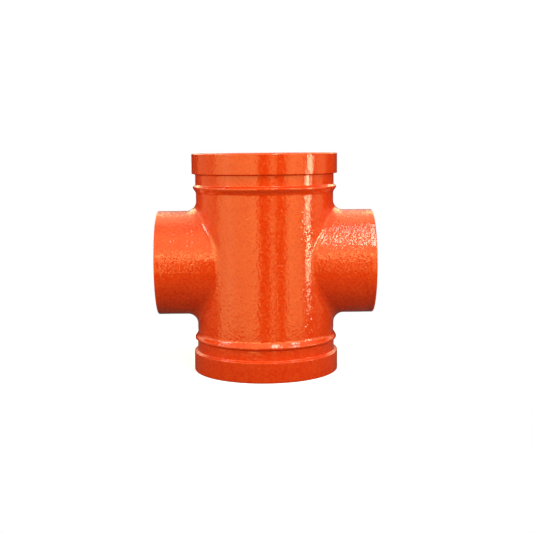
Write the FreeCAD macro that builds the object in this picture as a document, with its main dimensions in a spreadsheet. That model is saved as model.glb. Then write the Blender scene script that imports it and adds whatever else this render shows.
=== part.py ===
"""A cast iron pipe cross: a straight run with grooved ends and two smaller tapped outlets.

The run stands along Z and the outlets lie along X. The origin is where their two axes cross.
Each end of the run takes a two-part grooved coupling: a gasket seat at the end face, a groove for
the coupling's keys, and a raised bead behind it that slopes down to the body. Each outlet is a
plain round boss with a countersunk tapping bore for a female pipe thread, and behind the thread a
wider cored chamber that opens into the run. It is one casting, so it is one solid.
"""

import FreeCAD, Part

import math
import os

import Sketcher

# Every driving size, in millimetres: its name, its value and what it is.
SIZES = [
    ("run_reach", 86.3, "crossing of the axes to an end face of the run"),
    ("seat_diameter", 115.0, "gasket seat: a 114.3 pipe end, in the upper half of its tolerance"),
    ("seat_width", 15.7, "end face to the groove"),
    ("seat_edge", 1.0, "chamfer of the run's outer end edges"),
    ("seat_break", 0.4, "chamfer that breaks the seat's edge at the groove"),
    ("seat_flank", 0.6, "length along the run of the groove's flank below the seat"),
    ("groove_depth", 2.7, "seat down to the bottom of the coupling groove"),
    ("groove_width", 8.1, "flat bottom of the coupling groove"),
    ("bead_flank", 1.4, "length along the run of the bead's flank towards the groove"),
    ("bead_drop", 0.8, "seat down to the crest of the bead"),
    ("bead_crest", 1.2, "width of the crest, before its corners are broken"),
    ("bead_break", 0.4, "chamfer of the crest's two corners"),
    ("bead_slope", 3.5, "length along the run of the bead's slope down to the body"),
    ("bead_blend", 3.5, "radius where the slope runs out into the body"),
    ("body_drop", 3.1, "seat down to the run's body between its beads"),
    ("body_wall", 5.4, "wall of the body, from its skin in to the waterway"),
    ("bore_edge", 1.6, "chamfer of the run's inner end edges"),
    ("outlet_reach", 85.3, "crossing of the axes to the end face of an outlet"),
    ("outlet_diameter", 82.2, "outside of an outlet"),
    ("outlet_edge", 1.0, "chamfer of the outlet's outer end edge"),
    ("outlet_wall", 7.9, "wall of an outlet, from its skin in to the tapping bore of the thread"),
    ("tapping_depth", 27.0, "end face of the outlet to the end of the tapping bore"),
    ("countersink", 3.5, "depth of the 45 degree countersink at the outlet's mouth"),
    ("chamber_relief", 2.8, "tapping bore out to the wall of the cored chamber behind it"),
    ("chamber_shoulder", 1.8, "length of the chamber's sloping shoulder along the outlet"),
    ("saddle_radius", 8.0, "outer blend between an outlet and the run"),
]

# The steps of an end of the run, from its end face inwards, and the level that each one ends at.
END_STEPS = [
    ("seat_width", "seat_end"),
    ("seat_flank", "groove_top"),
    ("groove_width", "groove_foot"),
    ("bead_flank", "bead_top"),
    ("bead_crest", "bead_low"),
    ("bead_slope", "bead_foot"),
]

# How near a point lies to a surface that it belongs to, in millimetres.
NEAR = 0.01


def diameters():
    """The diameters that follow from the driving sizes, each as a formula."""
    return [
        ("groove_diameter", "sizes.seat_diameter - 2 * sizes.groove_depth"),
        ("bead_diameter", "sizes.seat_diameter - 2 * sizes.bead_drop"),
        ("body_diameter", "sizes.seat_diameter - 2 * sizes.body_drop"),
        ("bore_diameter", "body_diameter - 2 * sizes.body_wall"),
        ("tapping_diameter", "sizes.outlet_diameter - 2 * sizes.outlet_wall"),
        ("mouth_diameter", "tapping_diameter + 2 * sizes.countersink"),
        ("chamber_diameter", "tapping_diameter + 2 * sizes.chamber_relief"),
    ]


def run_levels():
    """The levels of an end of the run above the crossing, each as a formula.

    Between an outlet and the end face there is room for the saddle blend, the bead and the groove.
    On a run that is too short for them they shrink together, by the share called fit.
    """
    steps = " + ".join(f"sizes.{step}" for step, _ in END_STEPS)
    levels = [
        ("room", "sizes.run_reach - sizes.outlet_diameter / 2"),
        ("needed", f"{steps} + sizes.bead_blend + sizes.saddle_radius"),
        ("fit", "min(1; room / needed)"),
        ("bead_blend", "fit * sizes.bead_blend"),
        ("saddle_radius", "fit * sizes.saddle_radius"),
    ]
    above = "sizes.run_reach"
    for step, level in END_STEPS:
        levels.append((level, f"{above} - fit * sizes.{step}"))
        above = level
    return levels


def outlet_levels():
    """The distances of an outlet's inner steps from the crossing, each as a formula."""
    return [
        ("countersink_foot", "sizes.outlet_reach - sizes.countersink"),
        ("thread_end", "sizes.outlet_reach - sizes.tapping_depth"),
        ("chamber_end", "thread_end - sizes.chamber_shoulder"),
    ]


def fill_sheet(doc, name, cells):
    """A sheet with one named cell for each size."""
    sheet = doc.addObject("Spreadsheet::Sheet", name)
    for row, (alias, content, meaning) in enumerate(cells, start=1):
        sheet.set(f"A{row}", alias)
        sheet.set(f"B{row}", content)
        sheet.set(f"C{row}", meaning)
        sheet.setAlias(f"B{row}", alias)
        doc.recompute()


def make_sheets(doc):
    """The sheet of driving sizes, and a second one with the sizes that follow from them."""
    fill_sheet(doc, "sizes", [(name, str(size), meaning) for name, size, meaning in SIZES])
    formulas = diameters() + run_levels() + outlet_levels()
    worked_out = [(name, f"={formula}", "worked out") for name, formula in formulas]
    fill_sheet(doc, "follows", worked_out)


def value(thing, formula):
    """The number that a formula over the sheets comes to."""
    return float(thing.evalExpression(formula))


def new_sketch(body, name, role):
    """A sketch on one of the body's own origin planes."""
    sketch = body.newObject("Sketcher::SketchObject", name)
    plane = next(f for f in body.Origin.OriginFeatures if f.Role == role)
    sketch.AttachmentSupport = [(plane, "")]
    sketch.MapMode = "FlatFace"
    return sketch


def constrain(sketch, name, formula, kind, *places):
    """One dimension of the sketch, bound to a formula over the sheets."""
    number = sketch.addConstraint(Sketcher.Constraint(kind, *places, value(sketch, formula)))
    sketch.renameConstraint(number, name)
    sketch.setExpression(f"Constraints.{name}", formula)


def draw_outline(sketch, corners):
    """A closed outline of straight lines.

    Each corner is a name and two formulas over the sheet, across and up from the sketch's origin.
    """
    places = []
    for _, across, up in corners:
        places.append(FreeCAD.Vector(value(sketch, across), value(sketch, up), 0))
    count = len(corners)
    for i in range(count):
        sketch.addGeometry(Part.LineSegment(places[i], places[(i + 1) % count]), False)
    for i in range(count):
        sketch.addConstraint(Sketcher.Constraint("Coincident", i, 2, (i + 1) % count, 1))
    for i, (name, across, up) in enumerate(corners):
        constrain(sketch, f"{name}_across", across, "DistanceX", -1, 1, i, 1)
        constrain(sketch, f"{name}_up", up, "DistanceY", -1, 1, i, 1)


def draw_circle(sketch, diameter):
    """A circle about the sketch's origin as two half turns, with its diameter from the sheets.

    The halves meet on the sketch's vertical axis, so what is padded or cut has two half faces.
    """
    radius = value(sketch, diameter) / 2
    circle = Part.Circle(FreeCAD.Vector(0, 0, 0), FreeCAD.Vector(0, 0, 1), radius)
    quarter = math.pi / 2
    sketch.addGeometry(Part.ArcOfCircle(circle, -quarter, quarter), False)
    sketch.addGeometry(Part.ArcOfCircle(circle, quarter, 3 * quarter), False)
    sketch.addConstraint(Sketcher.Constraint("Coincident", 0, 3, -1, 1))
    sketch.addConstraint(Sketcher.Constraint("Coincident", 1, 3, -1, 1))
    sketch.addConstraint(Sketcher.Constraint("Coincident", 0, 2, 1, 1))
    sketch.addConstraint(Sketcher.Constraint("Coincident", 1, 2, 0, 1))
    sketch.addConstraint(Sketcher.Constraint("PointOnObject", 0, 1, -2))
    sketch.addConstraint(Sketcher.Constraint("PointOnObject", 0, 2, -2))
    constrain(sketch, "diameter", diameter, "Diameter", 0)


def both_ways(corners, axis):
    """The corners of one half of a symmetrical outline, and then those of the other half.

    The mirrored half has the sign of its formulas changed along axis, which is across or up.
    """
    mirrored = []
    for name, across, up in reversed(corners):
        if axis == "across":
            mirrored.append((f"{name}_back", f"-({across})", up))
        else:
            mirrored.append((f"{name}_below", across, f"-({up})"))
    return corners + mirrored


def edges_where(feature, belongs):
    """The names of the feature's edges all of whose sampled points pass the test."""
    names = []
    for number, edge in enumerate(feature.Shape.Edges, start=1):
        if all(belongs(point) for point in edge.discretize(7)):
            names.append(f"Edge{number}")
    if not names:
        raise ValueError(f"{feature.Label} has none of the edges that are to be worked")
    return names


def from_run_axis(point):
    return math.hypot(point.x, point.y)


def from_outlet_axis(point):
    return math.hypot(point.y, point.z)


def ring_of_run(body, diameter, height):
    """A test for points on the circles of that diameter about Z, at both ends of the run.

    The diameter and the height above the crossing are formulas over the sheets.
    """
    radius = value(body, diameter) / 2
    level = value(body, height)

    def belongs(point):
        return abs(from_run_axis(point) - radius) < NEAR and abs(abs(point.z) - level) < NEAR

    return belongs


def ring_of_outlets(body, diameter, reach):
    """The same test about X, for the circles at both outlets."""
    radius = value(body, diameter) / 2
    distance = value(body, reach)

    def belongs(point):
        return abs(from_outlet_axis(point) - radius) < NEAR and abs(abs(point.x) - distance) < NEAR

    return belongs


def crossing_of(body, run_diameter, outlet_diameter):
    """A test for points where a cylinder about Z meets one about X."""
    run_radius = value(body, run_diameter) / 2
    outlet_radius = value(body, outlet_diameter) / 2

    def belongs(point):
        on_run = abs(from_run_axis(point) - run_radius) < NEAR
        return on_run and abs(from_outlet_axis(point) - outlet_radius) < NEAR

    return belongs


def either(first, second):
    return lambda point: first(point) or second(point)


def new_feature(body, kind, name):
    """A feature that leaves half faces apart, because chamfers and blends need them whole."""
    feature = body.newObject(f"PartDesign::{kind}", name)
    feature.Refine = False
    return feature


def dress(body, kind, name, size_property, formula, belongs):
    """A fillet or a chamfer on those edges of the body's last feature that pass the test."""
    last = body.Tip
    names = edges_where(last, belongs)
    feature = new_feature(body, kind, name)
    feature.Base = (last, names)
    feature.setExpression(size_property, formula)
    body.Document.recompute()


def run_skin(body):
    """The outside of the run, turned about Z: seats, grooves, beads and body.

    Its section lies across the outlets, so that its seam keeps clear of their saddle blends.
    """
    sketch = new_sketch(body, "run_section", "YZ_Plane")
    upper_half = [
        ("end_centre", "0", "sizes.run_reach"),
        ("end_rim", "sizes.seat_diameter / 2", "sizes.run_reach"),
        ("seat_by_groove", "sizes.seat_diameter / 2", "follows.seat_end"),
        ("groove_by_seat", "follows.groove_diameter / 2", "follows.groove_top"),
        ("groove_by_bead", "follows.groove_diameter / 2", "follows.groove_foot"),
        ("crest_by_groove", "follows.bead_diameter / 2", "follows.bead_top"),
        ("crest_by_slope", "follows.bead_diameter / 2", "follows.bead_low"),
        ("slope_foot", "follows.body_diameter / 2", "follows.bead_foot"),
    ]
    draw_outline(sketch, both_ways(upper_half, "up"))
    turned = new_feature(body, "Revolution", "run_skin")
    turned.Profile = sketch
    turned.ReferenceAxis = (sketch, ["V_Axis"])
    turned.Angle = 360
    body.Document.recompute()


def dress_run_skin(body):
    """The blends of the beads into the body, and the broken edges of beads and seats."""
    foot = ring_of_run(body, "follows.body_diameter", "follows.bead_foot")
    crest_corners = either(
        ring_of_run(body, "follows.bead_diameter", "follows.bead_top"),
        ring_of_run(body, "follows.bead_diameter", "follows.bead_low"),
    )
    seat_by_groove = ring_of_run(body, "sizes.seat_diameter", "follows.seat_end")
    end_rim = ring_of_run(body, "sizes.seat_diameter", "sizes.run_reach")
    dress(body, "Fillet", "bead_blends", "Radius", "follows.bead_blend", foot)
    dress(body, "Chamfer", "bead_breaks", "Size", "sizes.bead_break", crest_corners)
    dress(body, "Chamfer", "seat_breaks", "Size", "sizes.seat_break", seat_by_groove)
    dress(body, "Chamfer", "seat_edges", "Size", "sizes.seat_edge", end_rim)


def outlet_skin(body):
    """The outside of both outlets, and the blends that join them to the run."""
    sketch = new_sketch(body, "outlet_circle", "YZ_Plane")
    draw_circle(sketch, "sizes.outlet_diameter")
    outlets = new_feature(body, "Pad", "outlets")
    outlets.Profile = sketch
    outlets.setExpression("Length", "2 * sizes.outlet_reach")
    outlets.Midplane = True
    body.Document.recompute()
    crotch = crossing_of(body, "follows.body_diameter", "sizes.outlet_diameter")
    dress(body, "Fillet", "saddles", "Radius", "follows.saddle_radius", crotch)
    end_rim = ring_of_outlets(body, "sizes.outlet_diameter", "sizes.outlet_reach")
    dress(body, "Chamfer", "outlet_edges", "Size", "sizes.outlet_edge", end_rim)


def run_bore(body):
    """The straight waterway of the run, with chamfered ends."""
    sketch = new_sketch(body, "bore_circle", "XY_Plane")
    draw_circle(sketch, "follows.bore_diameter")
    bore = new_feature(body, "Pocket", "run_bore")
    bore.Profile = sketch
    bore.Type = "ThroughAll"
    bore.Midplane = True
    body.Document.recompute()
    end_edge = ring_of_run(body, "follows.bore_diameter", "sizes.run_reach")
    dress(body, "Chamfer", "bore_edges", "Size", "sizes.bore_edge", end_edge)


def outlet_bores(body):
    """The inside of both outlets, turned about X: countersink, tapping bore and chamber."""
    sketch = new_sketch(body, "outlet_section", "XZ_Plane")
    right_half = [
        ("mouth_centre", "sizes.outlet_reach", "0"),
        ("mouth_rim", "sizes.outlet_reach", "follows.mouth_diameter / 2"),
        ("countersink_foot", "follows.countersink_foot", "follows.tapping_diameter / 2"),
        ("thread_end", "follows.thread_end", "follows.tapping_diameter / 2"),
        ("chamber_end", "follows.chamber_end", "follows.chamber_diameter / 2"),
    ]
    draw_outline(sketch, both_ways(right_half, "across"))
    cut = new_feature(body, "Groove", "outlet_bores")
    cut.Profile = sketch
    cut.ReferenceAxis = (sketch, ["H_Axis"])
    cut.Angle = 360
    body.Document.recompute()


def make_casting(doc):
    """The whole casting as one body."""
    body = doc.addObject("PartDesign::Body", "cross_casting")
    body.Label = "cross_casting"
    run_skin(body)
    dress_run_skin(body)
    outlet_skin(body)
    solid = body.Shape.Volume
    run_bore(body)
    bored = body.Shape.Volume
    outlet_bores(body)
    if not body.Shape.Volume < bored < solid:
        raise ValueError("a bore has removed no metal")
    return body


def check(doc, bodies):
    """Stops the build if an object has failed or a body isn't one valid solid."""
    for thing in doc.Objects:
        if {"Invalid", "Error"} & set(thing.State):
            raise ValueError(f"{thing.Label} has failed: {thing.State}")
    for body in bodies:
        shape = body.Shape
        if shape.isNull() or not shape.isValid() or len(shape.Solids) != 1:
            raise ValueError(f"{body.Label} isn't one valid solid")


def main():
    doc = FreeCAD.newDocument("pipe_cross")
    make_sheets(doc)
    bodies = [make_casting(doc)]
    doc.recompute()
    check(doc, bodies)
    os.makedirs("parts", exist_ok=True)
    for body in bodies:
        body.Shape.exportStep(f"parts/{body.Label}.step")
        print(body.Label, round(body.Shape.Volume / 1000, 1), "cm3")


main()
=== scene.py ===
"""The grooved reducing cross as a painted iron casting, with its pipe threads and a small studio.

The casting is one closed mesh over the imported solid. The run stands along Z and the outlets lie
along X, in metres, with the origin where their axes cross.
"""

import math

import bmesh
import bpy
import numpy as np
from bpy.props import FloatProperty, FloatVectorProperty, IntProperty, PointerProperty
from mathutils import Matrix, Vector, noise


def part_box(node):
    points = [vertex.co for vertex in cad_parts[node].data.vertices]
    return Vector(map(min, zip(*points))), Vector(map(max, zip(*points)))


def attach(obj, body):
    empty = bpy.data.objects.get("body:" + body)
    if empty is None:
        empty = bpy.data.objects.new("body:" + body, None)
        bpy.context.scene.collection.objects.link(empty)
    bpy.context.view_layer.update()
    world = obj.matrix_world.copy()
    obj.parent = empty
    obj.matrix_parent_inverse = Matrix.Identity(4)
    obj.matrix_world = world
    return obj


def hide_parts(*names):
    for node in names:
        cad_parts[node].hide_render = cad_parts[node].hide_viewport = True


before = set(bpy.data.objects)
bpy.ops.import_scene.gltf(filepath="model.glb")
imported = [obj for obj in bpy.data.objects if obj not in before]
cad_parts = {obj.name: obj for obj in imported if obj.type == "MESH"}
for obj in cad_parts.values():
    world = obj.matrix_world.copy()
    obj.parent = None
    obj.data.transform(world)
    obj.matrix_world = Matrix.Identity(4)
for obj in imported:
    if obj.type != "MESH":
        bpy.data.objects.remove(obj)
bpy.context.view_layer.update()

bl_info = {
    "name": "Grooved reducing cross",
    "version": (1, 0, 0),
    "blender": (4, 5, 0),
    "location": "View3D > Sidebar > Cross",
    "description": "Makes a grooved reducing cross: the painted casting, threads and a studio",
    "category": "Object",
}

MM = 0.001
LOW, HIGH = (Vector(corner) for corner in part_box("cross_casting"))

# Points of a mesh that lie nearer than this are one point.
NEAR = 0.002 * MM
# The points just outside a rounding lie this share of its reach away from it.
GUARD = 0.12
# A straight stretch may be this share of a step longer before it is divided.
SPARE = 0.2
# The rows of the run's wall lie this many steps apart, and below 1 their power crowds them
# towards the saddle blend.
WALL_STEPS = 1.4
WALL_POWER = 0.85
# Where the noise that makes the casting uneven is read, so that its sides differ.
NOISE_PLACE = Vector((11.3, 4.7, 8.9))

WHITE = (1.0, 1.0, 1.0)
WARM = (1.0, 0.97, 0.5)
COOL = (0.64, 0.72, 1.0)

# Each lamp's name, azimuth and elevation in degrees, distance, width and height in metres, the
# radiance of its face, its tint, and how far it is moved aside along X.
LAMPS = [
    ("front_left_box", -46, -1.6, 0.9, 1.3, 0.54, 1.4, WARM, 0),
    ("left_edge_slit", -59, 2, 0.9, 0.13, 0.5, 0.35, WHITE, 0),
    ("left_inner_slit", -17, 2, 0.9, 0.13, 0.5, 0.35, WARM, 0),
    ("front_slit", 12, -1.6, 0.9, 0.13, 0.54, 1.4, WARM, 0),
    ("right_inner_slit", 42, 2, 0.9, 0.16, 0.5, 0.35, WARM, 0),
    ("front_right_box", 48, -1.6, 0.9, 0.5, 0.54, 1.35, WARM, 0),
    ("left_side_box", -104, 4, 0.9, 0.67, 0.48, 0.5, WARM, 0),
    ("right_side_box", 96, 4, 0.9, 0.38, 0.48, 0.7, WARM, 0),
    ("right_strip", 73, 7, 0.9, 0.07, 0.47, 20.0, (0.9, 0.95, 0.85), 0),
    ("front_rail", 0, 18, 1.1, 0.9, 0.07, 5.5, WARM, 0),
    ("front_top_box", 2, 46, 1.3, 1.3, 1.3, 0.7, WARM, 0),
    ("back_top_box", 180, 62, 1.3, 1.3, 1.0, 0.75, WARM, 0),
    ("left_fill", -42, 19, 1.5, 1.1, 0.4, 2.4, WARM, 0),
    ("right_fill", 46, 19, 1.5, 0.8, 0.4, 2.2, WARM, 0),
    ("left_key", -74, 28, 1.9, 0.62, 0.55, 10.5, COOL, 0),
    ("high_box", 0, 51, 1.12, 0.1, 0.41, 21.0, COOL, 0.25),
    ("saddle_box", 0, 51, 1.12, 0.16, 0.5, 26.0, COOL, 0.9),
    ("upper_box", 0, 76, 1.12, 0.1, 0.58, 13.0, COOL, 0.27),
    ("back_left_fill", -148, 30, 1.5, 0.9, 0.8, 2.4, WARM, 0),
    ("back_right_fill", 148, 30, 1.5, 0.9, 0.8, 2.4, WARM, 0),
]


# Sizes and colours that a user may change

def length(name, millimetres, description):
    """A length, stored in metres."""
    return FloatProperty(name=name, description=description, default=millimetres * MM, min=0,
                         unit="LENGTH", subtype="DISTANCE", precision=5)


def turn(name, degrees, description):
    """An angle, stored in radians."""
    return FloatProperty(name=name, description=description, default=math.radians(degrees),
                         unit="ROTATION", subtype="ANGLE")


def number(name, default, description):
    """A plain number."""
    return FloatProperty(name=name, description=description, default=default)


def colour(name, linear, description):
    """A colour in linear light."""
    return FloatVectorProperty(name=name, description=description, default=linear, size=3,
                               min=0, max=1, subtype="COLOR")


class CastingSizes(bpy.types.PropertyGroup):
    """The casting's own sizes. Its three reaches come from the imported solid."""

    run_reach: length("Run reach", HIGH.z / MM, "Crossing of the axes to an end of the run")
    outlet_reach: length("Outlet reach", HIGH.x / MM, "Crossing of the axes to an outlet's end")
    seat_radius: length("Seat radius", HIGH.y / MM, "Radius of the gasket seats")
    seat_width: length("Seat width", 15.7, "End face to the groove")
    seat_edge: length("Seat edge", 0.9, "Rounding of the run's outer end edges")
    seat_break: length("Seat break", 0.45, "Rounding of the seat's edge at the groove")
    seat_flank: length("Seat flank", 0.6, "Length of the groove's flank below the seat")
    groove_depth: length("Groove depth", 2.7, "Seat down to the bottom of the groove")
    groove_width: length("Groove width", 8.1, "Flat bottom of the groove")
    groove_corner: length("Groove corner", 0.5, "Rounding inside the groove's two corners")
    bead_flank: length("Bead flank", 1.4, "Length of the bead's flank towards the groove")
    bead_drop: length("Bead drop", 0.8, "Seat down to the crest of the bead")
    bead_crest: length("Bead crest", 1.2, "Width of the crest before its corners are rounded")
    bead_break: length("Bead break", 0.6, "Rounding of the crest's corners")
    bead_slope: length("Bead slope", 3.5, "Length of the bead's slope down to the body")
    bead_blend: length("Bead blend", 3.5, "Rounding where the slope runs out into the body")
    body_drop: length("Body drop", 3.1, "Seat down to the body between the beads")
    body_wall: length("Body wall", 5.4, "Body skin in to the waterway")
    bore_edge: length("Bore edge", 1.4, "Rounding of the run's inner end edges")
    waist: length("Waist", 53.4, "Half height of the body's part that holds the outlets")
    saddle_radius: length("Saddle radius", 8.0, "Outer blend between an outlet and the run")
    inner_saddle: length("Inner saddle", 2.5, "Rounded edge where a chamber meets the waterway")
    outlet_radius: length("Outlet radius", 41.1, "Outside of an outlet")
    outlet_edge: length("Outlet edge", 0.9, "Rounding of an outlet's outer end edge")
    mouth_radius: length("Mouth radius", 36.75, "Countersink at an outlet's end face")
    mouth_edge: length("Mouth edge", 0.15, "Rounding of the countersink's rim")
    root_radius: length("Root radius", 36.3, "Bottom of the thread at the outlet's mouth")
    tapping_depth: length("Tapping depth", 27.0, "End face of an outlet to the end of its thread")
    chamber_radius: length("Chamber radius", 36.0, "Cored chamber behind the thread")
    chamber_lead: length("Chamber lead", 0.4, "Length of the chamber's shoulder past its height")
    mesh_step: length("Mesh step", 2.0, "Distance between neighbouring points of the skin")
    arc_steps: IntProperty(name="Arc steps", description="Mesh steps in a quarter of a rounding",
                           default=4, min=2)


class SkinSizes(bpy.types.PropertyGroup):
    """How uneven the casting's skin is."""

    swell: length("Swell", 0.07, "Height of the long waves that a sand mould leaves")
    swell_length: length("Swell length", 9.0, "Length of the long waves")
    ripple: length("Ripple", 0.035, "Height of the short waves")
    ripple_length: length("Ripple length", 4.5, "Length of the short waves")
    seat_share: number("Seat share", 0.35, "Share of the waves that the seats and grooves keep")


class ThreadSizes(bpy.types.PropertyGroup):
    """The tapered pipe thread in each outlet."""

    pitch: length("Pitch", 3.175, "Distance from one turn to the next")
    ridge: length("Ridge", 2.45, "Height of the thread's ridge")
    crest: length("Crest", 0.3, "Width of the ridge at its crest")
    foot_share: number("Foot share", 0.98, "Share of the pitch that the ridge's foot takes up")
    sink: length("Sink", 0.1, "Depth of the ridge's foot in the wall")
    fade: number("Fade", 0.12, "Share of the thread that fades out at its inner end")
    cut: number("Cut", 0.1, "Share of the thread that the countersink cuts down")
    taper: number("Taper", 1 / 32, "Loss of radius for each unit of depth")
    steps: IntProperty(name="Steps", description="Mesh steps in one turn", default=120, min=12)


class PaintLook(bpy.types.PropertyGroup):
    """Colours and gloss of the paint, and of the bare metal of the threads."""

    orange: colour("Orange", (0.83, 0.057, 0.0045), "The paint where it is of full thickness")
    # Deep orange colours random patches of thick paint, and also the painted shade in the skin's
    # pits.
    thick_and_pit_shade_orange: colour("Deep orange", (0.77, 0.034, 0.002), "The paint where it lies thick")
    glint: colour("Glint", (1.0, 0.92, 0.55), "Tint of the paint's reflection")
    shine: number("Shine", 0.8, "Specular level of the paint")
    gloss_low: number("Gloss low", 0.09, "Roughness of the smoothest paint")
    gloss_high: number("Gloss high", 0.15, "Roughness of the dullest paint")
    grain: length("Grain", 1.9, "Length of the fine waves in the cast skin")
    grain_height: length("Grain height", 0.3, "Height of the fine waves")
    pebble: length("Pebble", 2.8, "Distance between the pebbles of the cast skin")
    pebble_height: length("Pebble height", 0.16, "Height of the pebbles")
    run_relief: number("Run relief", 0.6, "Share of the relief that the run keeps")
    outlet_relief: number("Outlet relief", 1.1, "Share of the relief that the outlets keep")
    end_relief: number("End relief", 0.3, "Share of the relief that the outlets' ends keep")
    seat_relief: number("Seat relief", 0.8, "Share of the relief that seats and grooves keep")
    saddle_relief: number("Saddle relief", 0.25, "Share of the relief that the saddles keep")
    metal: colour("Metal", (0.36, 0.35, 0.34), "Freshly cut iron in the threads")
    stain: colour("Stain", (0.17, 0.135, 0.105), "Oil and first rust in the threads")


class StudioLook(bpy.types.PropertyGroup):
    """Camera, lamps, floor and background."""

    distance: length("Distance", 785.7, "Camera to the point that it looks at")
    azimuth: turn("Azimuth", -0.599, "Camera's turn about Z, from looking along +Y")
    elevation: turn("Elevation", 6.921, "Camera's height above the horizon")
    roll: turn("Roll", -0.546, "Camera's turn about its own line of sight")
    aim: FloatVectorProperty(name="Aim", description="Point that the camera looks at", size=3,
                             default=(0.00104, 0.0, -0.0041), unit="LENGTH",
                             subtype="TRANSLATION")
    lens: number("Lens", 66.19, "Focal length in millimetres on a 36 mm sensor")
    table: length("Table", 170.0, "Half the side of the table top that the casting stands on")
    mirrored: number("Mirrored", 0.1, "Share of the pale table that a reflection shows")
    table_glow: number("Table glow", 0.55, "Light that the table adds where the camera sees it")
    room_tint: colour("Room tint", (1.0, 0.94, 0.74), "Colour of the light that the room sends")
    room_above: number("Room above", 0.18, "Light that the room sends down")
    room_below: number("Room below", 0.04, "Light that the room sends up")


# Meshes

def body_radius(sizes):
    """The radius of the run's body between its beads."""
    return sizes.seat_radius - sizes.body_drop


def groove_foot_height(sizes):
    """The height at which a groove ends, on the bead's side."""
    return sizes.run_reach - sizes.seat_width - sizes.seat_flank - sizes.groove_width


def rounded_line(corners, step, arc_steps):
    """Points along straight lines whose corners are rounded.

    Each corner is (across, up, radius). A long stretch is divided at the step's length, and each
    rounding has points of its own, with one more just outside its ends that keeps flats flat.
    """
    points = [np.array(corners[0][:2])]
    for before, here, after in zip(corners, corners[1:], corners[2:]):
        corner = np.array(here[:2])
        if here[2] == 0:
            points.append(corner)
            continue
        back = np.array(before[:2]) - corner
        on = np.array(after[:2]) - corner
        back /= np.linalg.norm(back)
        on /= np.linalg.norm(on)
        opening = math.acos(float(np.clip(back @ on, -1, 1)))
        reach = here[2] / math.tan(opening / 2)
        middle = back + on
        centre = corner + middle / np.linalg.norm(middle) * here[2] / math.sin(opening / 2)
        first = corner + back * reach - centre
        last = corner + on * reach - centre
        bend = math.pi - opening
        count = max(2, round(arc_steps * bend / (math.pi / 2)))
        points.append(centre + first + back * reach * GUARD)
        for i in range(count + 1):
            share = i / count
            blend = math.sin((1 - share) * bend) * first + math.sin(share * bend) * last
            points.append(centre + blend / math.sin(bend))
        points.append(centre + last + on * reach * GUARD)
    points.append(np.array(corners[-1][:2]))
    line = [points[0]]
    for point in points[1:]:
        gap = np.linalg.norm(point - line[-1])
        parts = max(1, math.ceil(gap / step - SPARE))
        start = line[-1]
        line += [start + (point - start) * (i + 1) / parts for i in range(parts)]
    return np.array(line)


def saddle_lines(run_radius, outlet_radius, blend, angles):
    """The ball's centres of a rolling blend between the run and an outlet, and its two contacts.

    angles run round the outlet's axis, from +Y towards +Z.
    """
    across = (outlet_radius + blend) * np.cos(angles)
    up = (outlet_radius + blend) * np.sin(angles)
    out = np.sqrt((run_radius + blend) ** 2 - across ** 2)
    centres = np.stack([out, across, up], 1)
    share = run_radius / (run_radius + blend)
    on_run = centres * [share, share, 1]
    share = outlet_radius / (outlet_radius + blend)
    on_outlet = centres * [1, share, share]
    return centres, on_run, on_outlet


def saddle_rows(centres, on_run, on_outlet, blend, steps):
    """Rows of points over the blend, from the run to the outlet."""
    first = (on_run - centres) / blend
    last = (on_outlet - centres) / blend
    bend = np.arccos(np.clip((first * last).sum(1), -1, 1))[:, None]
    rows = []
    for i in range(steps + 1):
        share = i / steps
        mixed = np.sin((1 - share) * bend) * first + np.sin(share * bend) * last
        rows.append(centres + blend * mixed / np.sin(bend))
    return np.array(rows)


def frame_of_half(run_radius, waist, across_count, up_count):
    """The border of the run's half that faces +X, once round, as (arc length, height).

    It starts at the +Y side's foot, and its points match the angles of saddle_lines.
    """
    quarter = math.pi / 2 * run_radius
    side = np.linspace(-waist, waist, up_count, endpoint=False)
    top = np.linspace(quarter, -quarter, across_count, endpoint=False)
    border = [(quarter, height) for height in side]
    border += [(arc, waist) for arc in top]
    border += [(-quarter, -height) for height in side]
    border += [(-arc, -waist) for arc in top]
    return np.array(border)


def wall_rows(run_radius, contact, border, rows):
    """Rows of points on the run's half, from its border to the contact line of the blend."""
    arc = run_radius * np.arctan2(contact[:, 1], contact[:, 0])
    hole = np.stack([arc, contact[:, 2]], 1)
    result = []
    for i in range(rows + 1):
        share = (i / rows) ** WALL_POWER
        flat = border * (1 - share) + hole * share
        angle = flat[:, 0] / run_radius
        result.append(np.stack([run_radius * np.cos(angle), run_radius * np.sin(angle),
                                flat[:, 1]], 1))
    return np.array(result)


def turned_about_x(line, angles):
    """Rows of points for a line of (distance along X, radius)."""
    return np.array([[(x, r * math.cos(a), r * math.sin(a)) for a in angles] for x, r in line])


def turned_about_z(line, angles):
    """Rows of points for a line of (height, radius)."""
    return np.array([[(r * math.cos(a), r * math.sin(a), z) for a in angles] for z, r in line])


def between(first, last, step):
    """Rows of points from one row to another, without the first one."""
    gap = np.abs(last - first).max()
    count = max(1, math.ceil(gap / step))
    return np.array([first + (last - first) * (i + 1) / count for i in range(count)])


def close_shell(mesh):
    """Merges doubled points, turns the faces outwards and stops if an edge is open."""
    shell = bmesh.new()
    shell.from_mesh(mesh)
    bmesh.ops.remove_doubles(shell, verts=shell.verts, dist=NEAR)
    bmesh.ops.recalc_face_normals(shell, faces=shell.faces)
    if shell.calc_volume(signed=True) < 0:
        bmesh.ops.reverse_faces(shell, faces=shell.faces)
    loose = [edge for edge in shell.edges if not edge.is_manifold]
    if loose:
        raise ValueError(f"{mesh.name} has {len(loose)} open edges")
    shell.to_mesh(mesh)
    shell.free()


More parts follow.
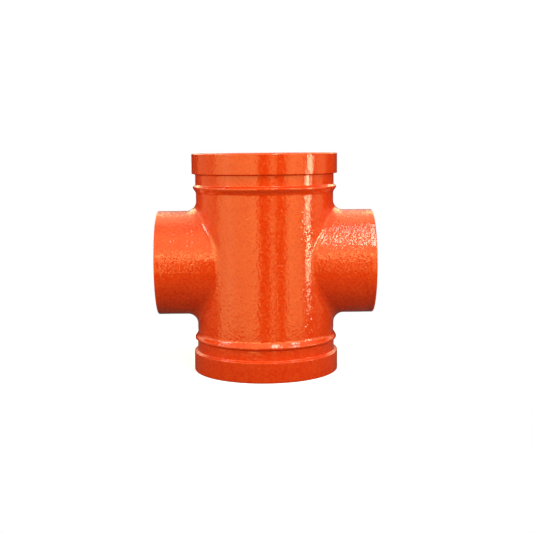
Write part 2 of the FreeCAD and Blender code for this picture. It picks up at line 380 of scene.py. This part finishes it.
def closed_mesh(name, grids):
    """One closed mesh from grids of points whose rows run all the way round."""
    points = []
    faces = []
    for grid in grids:
        start = len(points)
        rows, columns = grid.shape[:2]
        points += [tuple(point) for point in grid.reshape(-1, 3)]
        for i in range(rows - 1):
            for j in range(columns):
                k = (j + 1) % columns
                a = start + i * columns
                b = a + columns
                faces.append((a + j, a + k, b + k, b + j))
    mesh = bpy.data.meshes.new(name)
    mesh.from_pydata(points, [], faces)
    close_shell(mesh)
    return mesh


def other_side(grid, axis):
    """The same grid on the other side of the origin along an axis."""
    other = grid.copy()
    other[:, :, axis] *= -1
    return other


def run_end_line(sizes):
    """The section of a run's end, as (height, radius): body, bead, groove, seat, face and bore."""
    seat = sizes.seat_radius
    groove = seat - sizes.groove_depth
    bead = seat - sizes.bead_drop
    body = body_radius(sizes)
    bore = body - sizes.body_wall
    end = sizes.run_reach
    seat_end = end - sizes.seat_width
    groove_top = seat_end - sizes.seat_flank
    groove_foot = groove_foot_height(sizes)
    bead_top = groove_foot - sizes.bead_flank
    bead_low = bead_top - sizes.bead_crest
    bead_foot = bead_low - sizes.bead_slope
    corners = [
        (sizes.waist, body, 0),
        (bead_foot, body, sizes.bead_blend),
        (bead_low, bead, sizes.bead_break),
        (bead_top, bead, sizes.bead_break),
        (groove_foot, groove, sizes.groove_corner),
        (groove_top, groove, sizes.groove_corner),
        (seat_end, seat, sizes.seat_break),
        (end, seat, sizes.seat_edge),
        (end, bore, sizes.bore_edge),
        (sizes.waist, bore, 0),
    ]
    return rounded_line(corners, sizes.mesh_step, sizes.arc_steps)


def outlet_line(sizes, start, stop, taper):
    """The section of an outlet, as (distance, radius): skin, face, thread bottom and chamber."""
    end = sizes.outlet_reach
    mouth_foot = end - (sizes.mouth_radius - sizes.root_radius)
    thread_end = end - sizes.tapping_depth
    inner_root = sizes.root_radius - taper * sizes.tapping_depth
    chamber_start = thread_end - abs(sizes.chamber_radius - inner_root) - sizes.chamber_lead
    corners = [
        (start, sizes.outlet_radius, 0),
        (end, sizes.outlet_radius, sizes.outlet_edge),
        (end, sizes.mouth_radius, sizes.mouth_edge),
        (mouth_foot, sizes.root_radius, 0),
        (thread_end, inner_root, 0),
        (chamber_start, sizes.chamber_radius, 0),
        (stop, sizes.chamber_radius, 0),
    ]
    return rounded_line(corners, sizes.mesh_step, sizes.arc_steps)


def side_angles(across_count, up_count):
    """The angles round an outlet, one for each point of the border of the run's half."""
    count = 2 * (across_count + up_count)
    first = -math.pi * up_count / count
    return first + np.arange(count) * 2 * math.pi / count


def casting_grids(sizes, taper):
    """All the grids of the casting's skin."""
    body = body_radius(sizes)
    bore = body - sizes.body_wall
    across_count = round(math.pi * body / sizes.mesh_step)
    up_count = round(2 * sizes.waist / sizes.mesh_step)
    angles = side_angles(across_count, up_count)
    outer = saddle_lines(body, sizes.outlet_radius, sizes.saddle_radius, angles)
    inner = saddle_lines(bore, sizes.chamber_radius, sizes.inner_saddle, angles)
    wall = math.pi / 2 * body - sizes.outlet_radius
    rows = round(wall / sizes.mesh_step / WALL_STEPS)
    outer_frame = frame_of_half(body, sizes.waist, across_count, up_count)
    inner_frame = frame_of_half(bore, sizes.waist, across_count, up_count)
    outer_wall = wall_rows(body, outer[1], outer_frame, rows)
    inner_wall = wall_rows(bore, inner[1], inner_frame, rows)
    outer_blend = saddle_rows(*outer, sizes.saddle_radius, 3 * sizes.arc_steps)
    inner_blend = saddle_rows(*inner, sizes.inner_saddle, sizes.arc_steps)
    start = outer[2][:, 0].max() + sizes.mesh_step
    stop = inner[2][:, 0].max() + sizes.mesh_step
    outlet = turned_about_x(outlet_line(sizes, start, stop, taper), angles)
    skin = np.concatenate([outer_blend[-1:], between(outer_blend[-1], outlet[0],
                                                     sizes.mesh_step)])
    chamber = np.concatenate([outlet[-1:], between(outlet[-1], inner_blend[-1],
                                                   sizes.mesh_step)])
    right = [outer_wall, outer_blend, skin, outlet, chamber, inner_blend, inner_wall]
    round_z = np.linspace(0, 2 * math.pi, 2 * across_count, endpoint=False) - math.pi / 2
    top = turned_about_z(run_end_line(sizes), round_z)
    return right + [other_side(grid, 0) for grid in right] + [top, other_side(top, 2)]


def make_uneven(mesh, sizes, skin):
    """Moves each point along its normal by the waves of the mould, less on seats and grooves.

    The cut bores that hold the threads stay as they are.
    """
    groove_foot = groove_foot_height(sizes)
    middle_of_wall = body_radius(sizes) - 0.5 * sizes.body_wall
    thread_start = sizes.outlet_reach - sizes.tapping_depth
    thread_radius = sizes.mouth_radius + 0.2 * MM
    places = np.empty(3 * len(mesh.vertices), dtype=np.float32)
    normals = np.empty_like(places)
    mesh.vertices.foreach_get("co", places)
    mesh.vertex_normals.foreach_get("vector", normals)
    places = places.reshape(-1, 3)
    heights = np.zeros(len(places))
    for i, (x, y, z) in enumerate(places.tolist()):
        if abs(x) > thread_start and math.hypot(y, z) < thread_radius:
            continue
        place = Vector((x, y, z))
        swell = noise.noise(place / skin.swell_length + NOISE_PLACE) * skin.swell
        ripple = noise.noise(place / skin.ripple_length - NOISE_PLACE) * skin.ripple
        smooth = abs(z) > groove_foot and math.hypot(x, y) > middle_of_wall
        heights[i] = (swell + ripple) * (skin.seat_share if smooth else 1.0)
    places = places + normals.reshape(-1, 3) * heights[:, None]
    mesh.vertices.foreach_set("co", places.astype(np.float32).ravel())
    mesh.update()


# Materials

def node(tree, kind, **settings):
    """A node with its settings."""
    made = tree.nodes.new(kind)
    for name, setting in settings.items():
        setattr(made, name, setting)
    return made


def feed(tree, socket, source):
    """Sets a socket to a value, or links it to an output."""
    if isinstance(source, bpy.types.NodeSocket):
        tree.links.new(source, socket)
    else:
        socket.default_value = source


def math_node(tree, operation, *sources):
    """The output of a Math node."""
    made = node(tree, "ShaderNodeMath", operation=operation)
    for socket, source in zip(made.inputs, sources):
        feed(tree, socket, source)
    return made.outputs[0]


def product(tree, first, *others):
    """The product of several values."""
    for other in others:
        first = math_node(tree, "MULTIPLY", first, other)
    return first


def ramp(tree, source, low, high, to_low=0.0, to_high=1.0):
    """A value mapped smoothly from one range to another."""
    made = node(tree, "ShaderNodeMapRange", interpolation_type="SMOOTHSTEP")
    for name, setting in (("Value", source), ("From Min", low), ("From Max", high),
                          ("To Min", to_low), ("To Max", to_high)):
        feed(tree, made.inputs[name], setting)
    return made.outputs["Result"]


def mixed_colour(tree, factor, first, second):
    """A mix of two colours."""
    made = node(tree, "ShaderNodeMix", data_type="RGBA")
    feed(tree, made.inputs["Factor"], factor)
    inputs = [socket for socket in made.inputs if socket.type == "RGBA"]
    for socket, source in zip(inputs, (first, second)):
        feed(tree, socket, source)
    return next(socket for socket in made.outputs if socket.type == "RGBA")


def noise_of(tree, place, wave, detail=2.0, roughness=0.5):
    """Noise with waves of that length, in metres."""
    made = node(tree, "ShaderNodeTexNoise")
    feed(tree, made.inputs["Vector"], place)
    feed(tree, made.inputs["Scale"], 1 / wave)
    feed(tree, made.inputs["Detail"], detail)
    feed(tree, made.inputs["Roughness"], roughness)
    return made.outputs["Fac"]


def cells_of(tree, place, width, smoothness):
    """Rounded cells of that width, in metres: their height is greatest in the middle."""
    made = node(tree, "ShaderNodeTexVoronoi", feature="SMOOTH_F1")
    feed(tree, made.inputs["Vector"], place)
    feed(tree, made.inputs["Scale"], 1 / width)
    feed(tree, made.inputs["Smoothness"], smoothness)
    return made.outputs["Distance"]


def opaque(linear):
    """A colour with full alpha."""
    return (*linear, 1.0)


def new_material(name):
    """A material with nodes, its tree, its shader and its Object coordinates."""
    material = bpy.data.materials.new(name)
    material.use_nodes = True
    tree = material.node_tree
    shader = tree.nodes["Principled BSDF"]
    place = node(tree, "ShaderNodeTexCoord").outputs["Object"]
    return material, tree, shader, place


def distance_from_axis(tree, axes, first, second):
    """How far a point is from the axis that is square to two directions."""
    flat = node(tree, "ShaderNodeCombineXYZ")
    feed(tree, flat.inputs["X"], axes.outputs[first])
    feed(tree, flat.inputs["Y"], axes.outputs[second])
    made = node(tree, "ShaderNodeVectorMath", operation="LENGTH")
    feed(tree, made.inputs[0], flat.outputs["Vector"])
    return made.outputs["Value"]


def bump(tree, shader, height, distance=1.0):
    """Feeds a height to the shader's normal. At a distance of 1 it is in metres."""
    made = node(tree, "ShaderNodeBump")
    feed(tree, made.inputs["Height"], height)
    feed(tree, made.inputs["Distance"], distance)
    feed(tree, shader.inputs["Normal"], made.outputs["Normal"])


def share_of_relief(tree, place, look, sizes):
    """The share of the cast relief that each part of the casting keeps."""
    axes = node(tree, "ShaderNodeSeparateXYZ")
    feed(tree, axes.inputs["Vector"], place)
    height = math_node(tree, "ABSOLUTE", axes.outputs["Z"])
    side = math_node(tree, "ABSOLUTE", axes.outputs["X"])
    groove_foot = groove_foot_height(sizes)
    end = sizes.outlet_reach
    body = body_radius(sizes)
    outlet = sizes.outlet_radius
    on_seats = ramp(tree, height, groove_foot - 1.5 * MM, groove_foot + 0.5 * MM, 1.0,
                    look.seat_relief)
    on_ends = ramp(tree, side, end - 6 * MM, end - 4 * MM, 1.0, look.end_relief)
    on_run = ramp(tree, side, body - 8 * MM, body, look.run_relief, look.outlet_relief)
    above_body = ramp(tree, distance_from_axis(tree, axes, "X", "Y"), body + 0.2 * MM,
                      body + 1.2 * MM)
    above_outlet = ramp(tree, distance_from_axis(tree, axes, "Y", "Z"), outlet + 0.2 * MM,
                        outlet + 1.2 * MM)
    below_beads = ramp(tree, height, groove_foot - 6 * MM, groove_foot - 3 * MM, 1.0, 0.0)
    in_saddle = product(tree, above_body, above_outlet, below_beads)
    on_saddles = ramp(tree, in_saddle, 0.0, 1.0, 1.0, look.saddle_relief)
    return product(tree, on_seats, on_ends, on_run, on_saddles)


def orange_paint(look, sizes):
    """Gloss enamel over a pebbled sand-cast skin, with painted shade that darkens the colour in
    the skin's pits, and random patches of deeper paint.
    """
    material, tree, shader, place = new_material("orange_paint")
    waves = noise_of(tree, place, look.grain, 1.0)
    grains = product(tree, waves, look.grain_height)
    cells = ramp(tree, cells_of(tree, place, look.pebble, 0.2), 0.0, 0.45, 1.0, 0.0)
    clumps = noise_of(tree, place, look.pebble * 4, 1.0)
    patches = ramp(tree, clumps, 0.35, 0.6, 0.5, 1.0)
    pebbles = product(tree, cells, patches, look.pebble_height)
    relief = product(tree, math_node(tree, "ADD", grains, pebbles),
                     share_of_relief(tree, place, look, sizes))
    bump(tree, shader, relief)
    thick = ramp(tree, noise_of(tree, place, 14 * MM, 3.0), 0.35, 0.7, 0.0, 0.3)
    # Painted shade: where the fine waves of the relief are low, in the skin's pits, the colour
    # darkens towards deep orange.
    painted_pit_shade = ramp(tree, waves, 0.38, 0.55, 0.7, 0.0)
    tone = mixed_colour(tree, math_node(tree, "ADD", thick, painted_pit_shade), opaque(look.orange),
                        opaque(look.thick_and_pit_shade_orange))
    feed(tree, shader.inputs["Base Color"], tone)
    dull = noise_of(tree, place, 6 * MM, 2.0)
    feed(tree, shader.inputs["Roughness"],
         ramp(tree, dull, 0.3, 0.7, look.gloss_low, look.gloss_high))
    shader.inputs["Specular Tint"].default_value = opaque(look.glint)
    shader.inputs["Specular IOR Level"].default_value = look.shine
    return material


def cut_iron(look):
    """Bare iron as the tap left it, with fine rings round the outlet's axis and some oil."""
    material, tree, shader, place = new_material("cut_iron")
    stretched = node(tree, "ShaderNodeMapping")
    feed(tree, stretched.inputs["Vector"], place)
    feed(tree, stretched.inputs["Scale"], (6.0, 1.0, 1.0))
    rings = noise_of(tree, stretched.outputs["Vector"], 2.5 * MM, 3.0)
    stain = noise_of(tree, place, 7 * MM, 4.0, 0.6)
    tone = mixed_colour(tree, ramp(tree, stain, 0.42, 0.68), opaque(look.metal),
                        opaque(look.stain))
    feed(tree, shader.inputs["Base Color"], tone)
    feed(tree, shader.inputs["Roughness"], ramp(tree, rings, 0.3, 0.7, 0.3, 0.5))
    shader.inputs["Metallic"].default_value = 1.0
    bump(tree, shader, rings, 0.02 * MM)
    return material


# Pieces

def add_piece(name, mesh, material):
    """An object at the origin with that mesh and material."""
    piece = bpy.data.objects.new(name, mesh)
    bpy.context.scene.collection.objects.link(piece)
    if not mesh.materials:
        mesh.materials.append(material)
    return piece


class CROSS_OT_casting(bpy.types.Operator):
    """Makes the painted casting"""

    bl_idname = "cross.casting"
    bl_label = "Casting"

    def execute(self, context):
        sizes = context.scene.cross_casting
        thread = context.scene.cross_thread
        mesh = closed_mesh("painted_casting", casting_grids(sizes, thread.taper))
        mesh.shade_smooth()
        make_uneven(mesh, sizes, context.scene.cross_skin)
        piece = add_piece("painted_casting", mesh, orange_paint(context.scene.cross_paint, sizes))
        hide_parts("cross_casting")
        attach(piece, "root")
        return {"FINISHED"}


def thread_tree(thread, sizes, material):
    """Nodes that wind a ridge into a tapered helix which runs along +X up to the outlet's mouth.

    Near the mouth the countersink has cut the ridge down, and at its inner end it fades out.
    """
    tree = bpy.data.node_groups.new("pipe_thread", "GeometryNodeTree")
    depth = sizes.tapping_depth
    mouth_root = sizes.root_radius + thread.sink
    inputs = [
        ("Turns", "NodeSocketFloat", depth / thread.pitch),
        ("Steps", "NodeSocketInt", thread.steps),
        ("Inner radius", "NodeSocketFloat", mouth_root - thread.taper * depth),
        ("Mouth radius", "NodeSocketFloat", mouth_root),
        ("Depth", "NodeSocketFloat", depth),
        ("Ridge", "NodeSocketFloat", thread.ridge),
        ("Root width", "NodeSocketFloat", thread.pitch * thread.foot_share),
        ("Crest width", "NodeSocketFloat", thread.crest),
        ("Reach", "NodeSocketFloat", sizes.outlet_reach),
        ("Metal", "NodeSocketMaterial", material),
    ]
    for name, kind, default in inputs:
        socket = tree.interface.new_socket(name, in_out="INPUT", socket_type=kind)
        socket.default_value = default
    tree.interface.new_socket("Geometry", in_out="OUTPUT", socket_type="NodeSocketGeometry")
    given = node(tree, "NodeGroupInput").outputs
    helix = node(tree, "GeometryNodeCurveSpiral")
    feed(tree, helix.inputs["Resolution"], given["Steps"])
    feed(tree, helix.inputs["Rotations"], given["Turns"])
    feed(tree, helix.inputs["Start Radius"], given["Inner radius"])
    feed(tree, helix.inputs["End Radius"], given["Mouth radius"])
    feed(tree, helix.inputs["Height"], given["Depth"])
    upright = node(tree, "GeometryNodeSetCurveNormal", mode="Z_UP")
    feed(tree, upright.inputs["Curve"], helix.outputs["Curve"])
    along = node(tree, "GeometryNodeSplineParameter").outputs["Factor"]
    fade_in = ramp(tree, along, 0.0, thread.fade, 0.05, 1.0)
    cut_down = ramp(tree, along, 1.0 - thread.cut, 1.0, 1.0, 0.1)
    size = product(tree, fade_in, cut_down)
    ridge = node(tree, "GeometryNodeCurvePrimitiveQuadrilateral", mode="TRAPEZOID")
    feed(tree, ridge.inputs["Height"], given["Ridge"])
    feed(tree, ridge.inputs["Bottom Width"], given["Root width"])
    feed(tree, ridge.inputs["Top Width"], given["Crest width"])
    feed(tree, ridge.inputs["Offset"], 0.0)
    half_up = node(tree, "ShaderNodeCombineXYZ")
    feed(tree, half_up.inputs["Y"], product(tree, given["Ridge"], 0.5))
    seated = node(tree, "GeometryNodeTransform")
    feed(tree, seated.inputs["Geometry"], ridge.outputs["Curve"])
    feed(tree, seated.inputs["Translation"], half_up.outputs["Vector"])
    swept = node(tree, "GeometryNodeCurveToMesh")
    feed(tree, swept.inputs["Curve"], upright.outputs["Curve"])
    feed(tree, swept.inputs["Profile Curve"], seated.outputs["Geometry"])
    feed(tree, swept.inputs["Scale"], size)
    feed(tree, swept.inputs["Fill Caps"], True)
    lying = node(tree, "GeometryNodeTransform")
    feed(tree, lying.inputs["Geometry"], swept.outputs["Mesh"])
    feed(tree, lying.inputs["Rotation"], (0.0, math.pi / 2, 0.0))
    start = node(tree, "ShaderNodeCombineXYZ")
    feed(tree, start.inputs["X"], math_node(tree, "SUBTRACT", given["Reach"], given["Depth"]))
    feed(tree, lying.inputs["Translation"], start.outputs["Vector"])
    real = node(tree, "GeometryNodeRealizeInstances")
    feed(tree, real.inputs["Geometry"], lying.outputs["Geometry"])
    metal = node(tree, "GeometryNodeSetMaterial")
    feed(tree, metal.inputs["Geometry"], real.outputs["Geometry"])
    feed(tree, metal.inputs["Material"], given["Metal"])
    result = node(tree, "NodeGroupOutput")
    feed(tree, result.inputs["Geometry"], metal.outputs["Geometry"])
    return tree


def mesh_from_tree(name, tree, material):
    """The plain mesh that a node tree makes."""
    holder = bpy.data.objects.new(name, bpy.data.meshes.new(name))
    bpy.context.scene.collection.objects.link(holder)
    modifier = holder.modifiers.new("Nodes", "NODES")
    modifier.node_group = tree
    for socket in tree.interface.items_tree:
        if socket.in_out == "INPUT":
            modifier[socket.identifier] = socket.default_value
    depsgraph = bpy.context.evaluated_depsgraph_get()
    mesh = bpy.data.meshes.new_from_object(holder.evaluated_get(depsgraph), depsgraph=depsgraph)
    holder.modifiers.remove(modifier)
    bpy.data.objects.remove(holder)
    mesh.name = name
    if len(mesh.polygons) == 0:
        raise ValueError(f"{name} came out empty")
    return mesh


class CROSS_OT_threads(bpy.types.Operator):
    """Winds the pipe thread of each outlet"""

    bl_idname = "cross.threads"
    bl_label = "Threads"

    def execute(self, context):
        scene = context.scene
        metal = cut_iron(scene.cross_paint)
        tree = thread_tree(scene.cross_thread, scene.cross_casting, metal)
        half_turn = Matrix.Rotation(math.pi, 4, "Z")
        for name, place in (("right_thread", Matrix.Identity(4)), ("left_thread", half_turn)):
            mesh = mesh_from_tree(name, tree, metal)
            mesh.transform(place)
            close_shell(mesh)
            mesh.shade_smooth()
            mesh.set_sharp_from_angle(angle=math.radians(40))
            piece = add_piece(name, mesh, metal)
            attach(piece, "root")
        return {"FINISHED"}


# Stage

def add_lamp(name, azimuth, elevation, distance, width, height, radiance, tint, aside):
    """A soft box that faces the casting.

    Its azimuth is counted from the camera's side to the right, its radiance is that of its face,
    where 1 is white, and it may be moved aside along X, without a turn.
    """
    data = bpy.data.lights.new(name, "AREA")
    data.shape = "RECTANGLE"
    data.size = width
    data.size_y = height
    data.energy = radiance * math.pi * width * height
    data.color = tint
    lamp = bpy.data.objects.new(name, data)
    a = math.radians(azimuth)
    e = math.radians(elevation)
    back = Vector((math.sin(a) * math.cos(e), -math.cos(a) * math.cos(e), math.sin(e)))
    lamp.location = back * distance + Vector((aside, 0, 0))
    lamp.rotation_euler = back.to_track_quat("Z", "Y").to_euler()
    bpy.context.scene.collection.objects.link(lamp)


def seen_directly(path):
    """Whether the camera sees a point, straight or through glass, as 0 or 1."""
    return math_node(path.id_data, "MAXIMUM", path.outputs["Is Camera Ray"],
                     path.outputs["Is Transmission Ray"])


def table_material(look):
    """A pale table top that looks white and keeps the casting's shadow, with little bounce."""
    material, tree, shader, place = new_material("pale_table")
    grain = noise_of(tree, place, 60 * MM, 2.0)
    pale = mixed_colour(tree, grain, opaque((0.80, 0.80, 0.80)), opaque((0.84, 0.84, 0.84)))
    path = node(tree, "ShaderNodeLightPath")
    seen = seen_directly(path)
    mirrored = product(tree, path.outputs["Is Glossy Ray"], look.mirrored)
    share = math_node(tree, "MAXIMUM", seen, mirrored)
    dark = opaque((0.03, 0.03, 0.03))
    feed(tree, shader.inputs["Base Color"], mixed_colour(tree, share, dark, pale))
    feed(tree, shader.inputs["Emission Color"], opaque(WHITE))
    feed(tree, shader.inputs["Emission Strength"], product(tree, seen, look.table_glow))
    shader.inputs["Roughness"].default_value = 0.9
    shader.inputs["Specular IOR Level"].default_value = 0.0
    return material


def light_the_room(scene, look):
    """A white background, and a room that is light above and dim below the table."""
    world = bpy.data.worlds.new("room")
    scene.world = world
    world.use_nodes = True
    tree = world.node_tree
    back = tree.nodes["Background"]
    axes = node(tree, "ShaderNodeSeparateXYZ")
    feed(tree, axes.inputs["Vector"], node(tree, "ShaderNodeTexCoord").outputs["Generated"])
    lit = ramp(tree, axes.outputs["Z"], 0.0, 0.35, look.room_below, look.room_above)
    mirrored = ramp(tree, axes.outputs["Z"], 0.05, 0.3, look.room_below, 1.0)
    path = node(tree, "ShaderNodeLightPath")
    glossy = product(tree, path.outputs["Is Glossy Ray"], mirrored)
    seen = seen_directly(path)
    strength = math_node(tree, "MAXIMUM", math_node(tree, "MAXIMUM", seen, glossy), lit)
    feed(tree, back.inputs["Strength"], strength)
    feed(tree, back.inputs["Color"],
         mixed_colour(tree, seen, opaque(look.room_tint), opaque(WHITE)))


def place_camera(scene, look):
    """The photo's view of the casting."""
    data = bpy.data.cameras.new("camera")
    data.lens = look.lens
    data.sensor_width = 36
    data.clip_start = 0.05
    data.clip_end = 20
    camera = bpy.data.objects.new("camera", data)
    back = Vector((math.sin(look.azimuth) * math.cos(look.elevation),
                   -math.cos(look.azimuth) * math.cos(look.elevation), math.sin(look.elevation)))
    level_right = Vector((0, 0, 1)).cross(back).normalized()
    level_up = back.cross(level_right)
    right = level_right * math.cos(look.roll) + level_up * math.sin(look.roll)
    up = level_up * math.cos(look.roll) - level_right * math.sin(look.roll)
    camera.matrix_world = Matrix.Translation(Vector(look.aim) + back * look.distance) @ Matrix(
        (right, up, back)).transposed().to_4x4()
    scene.collection.objects.link(camera)
    scene.camera = camera


class CROSS_OT_stage(bpy.types.Operator):
    """Sets up the floor, the lamps and the camera"""

    bl_idname = "cross.stage"
    bl_label = "Stage"

    def execute(self, context):
        scene = context.scene
        look = scene.cross_studio
        half = look.table
        ground = LOW.z
        mesh = bpy.data.meshes.new("table")
        corners = [(-half, -half), (half, -half), (half, half), (-half, half)]
        mesh.from_pydata([(x, y, ground) for x, y in corners], [], [(0, 1, 2, 3)])
        add_piece("table", mesh, table_material(look))
        for lamp in LAMPS:
            add_lamp(*lamp)
        light_the_room(scene, look)
        scene.view_settings.view_transform = "Standard"
        place_camera(scene, look)
        return {"FINISHED"}


# Add-on

class CROSS_PT_panel(bpy.types.Panel):
    """The steps that make the cross, and the sizes and colours that they read"""

    bl_idname = "CROSS_PT_panel"
    bl_label = "Grooved reducing cross"
    bl_space_type = "VIEW_3D"
    bl_region_type = "UI"
    bl_category = "Cross"

    def draw(self, context):
        for step in STEPS:
            self.layout.operator(step.bl_idname)
        for name, group in GROUPS.items():
            box = self.layout.box()
            for prop in group.__annotations__:
                box.prop(getattr(context.scene, name), prop)


GROUPS = {
    "cross_casting": CastingSizes,
    "cross_skin": SkinSizes,
    "cross_thread": ThreadSizes,
    "cross_paint": PaintLook,
    "cross_studio": StudioLook,
}
STEPS = (CROSS_OT_casting, CROSS_OT_threads, CROSS_OT_stage)
CLASSES = (*GROUPS.values(), *STEPS, CROSS_PT_panel)


def register():
    for cls in CLASSES:
        bpy.utils.register_class(cls)
    for name, group in GROUPS.items():
        setattr(bpy.types.Scene, name, PointerProperty(type=group))


def unregister():
    for name in GROUPS:
        delattr(bpy.types.Scene, name)
    for cls in reversed(CLASSES):
        bpy.utils.unregister_class(cls)


def main():
    register()
    bpy.ops.cross.casting()
    bpy.ops.cross.threads()
    bpy.ops.cross.stage()


if __name__ == "__main__":
    main()
